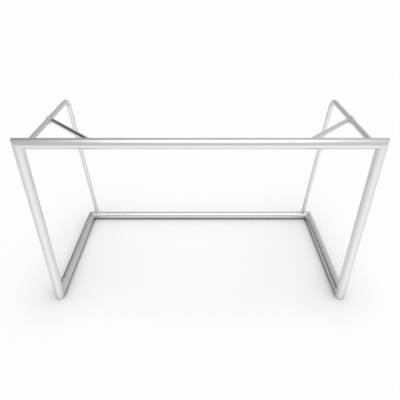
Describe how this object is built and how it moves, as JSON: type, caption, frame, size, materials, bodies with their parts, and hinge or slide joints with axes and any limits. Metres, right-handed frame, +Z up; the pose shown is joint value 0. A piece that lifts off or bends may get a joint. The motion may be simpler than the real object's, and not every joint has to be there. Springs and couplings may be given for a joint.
{
  "type": "soccer goal frame",
  "caption": "Free-standing tubular aluminium soccer goal frame with mitred corners, ground bars, bent net bows and corner braces, without its net.",
  "frame": {"origin": "middle of the frame's footprint, on the ground", "axes": "+X to the goal's right along the crossbar, +Y from the mouth to the rear ground bar, +Z up; the mouth faces -Y"},
  "size_m": [2.6602, 1.3301, 1.5801],
  "materials": {
    "aluminium_tube": "satin silver anodised extruded tube",
    "cast_fitting": "fine blasted cast aluminium",
    "zinc_steel": "bright blue-passivated zinc plate",
    "grey_plastic": "fine-textured grey polyamide"
  },
  "bodies": {
    "root": {"crossbar": "aluminium_tube", "left_bow_foot_bolt_inner": "zinc_steel", "left_bow_foot_bolt_outer": "zinc_steel", "left_bow_foot_saddle": "cast_fitting", "left_bow_front_bolt_inner": "zinc_steel", "left_bow_front_bolt_outer": "zinc_steel", "left_bow_front_saddle": "cast_fitting", "left_brace_bolt_inner": "zinc_steel", "left_brace_bolt_outer": "zinc_steel", "left_brace_rivet_nut_inner": "zinc_steel", "left_brace_rivet_nut_outer": "zinc_steel", "left_brace_saddle": "cast_fitting", "left_clamp_bolt_lower": "zinc_steel", "left_clamp_bolt_upper": "zinc_steel", "left_clamp_inner_half": "zinc_steel", "left_clamp_nut_lower": "zinc_steel", "left_clamp_nut_upper": "zinc_steel", "left_clamp_outer_half": "zinc_steel", "left_corner_brace": "aluminium_tube", "left_ground_bar": "aluminium_tube", "left_ground_spigot": "cast_fitting", "left_net_bow": "aluminium_tube", "left_post": "aluminium_tube", "left_post_bolt": "zinc_steel", "left_post_foot_cap": "grey_plastic", "left_rear_connector_bolt": "zinc_steel", "left_rear_corner_connector": "cast_fitting", "left_spigot_bolt": "zinc_steel", "left_top_corner_connector": "cast_fitting", "rear_ground_bar": "aluminium_tube", "right_bow_foot_bolt_inner": "zinc_steel", "right_bow_foot_bolt_outer": "zinc_steel", "right_bow_foot_saddle": "cast_fitting", "right_bow_front_bolt_inner": "zinc_steel", "right_bow_front_bolt_outer": "zinc_steel", "right_bow_front_saddle": "cast_fitting", "right_brace_bolt_inner": "zinc_steel", "right_brace_bolt_outer": "zinc_steel", "right_brace_rivet_nut_inner": "zinc_steel", "right_brace_rivet_nut_outer": "zinc_steel", "right_brace_saddle": "cast_fitting", "right_clamp_bolt_lower": "zinc_steel", "right_clamp_bolt_upper": "zinc_steel", "right_clamp_inner_half": "zinc_steel", "right_clamp_nut_lower": "zinc_steel", "right_clamp_nut_upper": "zinc_steel", "right_clamp_outer_half": "zinc_steel", "right_corner_brace": "aluminium_tube", "right_ground_bar": "aluminium_tube", "right_ground_spigot": "cast_fitting", "right_net_bow": "aluminium_tube", "right_post": "aluminium_tube", "right_post_bolt": "zinc_steel", "right_post_foot_cap": "grey_plastic", "right_rear_connector_bolt": "zinc_steel", "right_rear_corner_connector": "cast_fitting", "right_spigot_bolt": "zinc_steel", "right_top_corner_connector": "cast_fitting"}
  },
  "joints": []
}
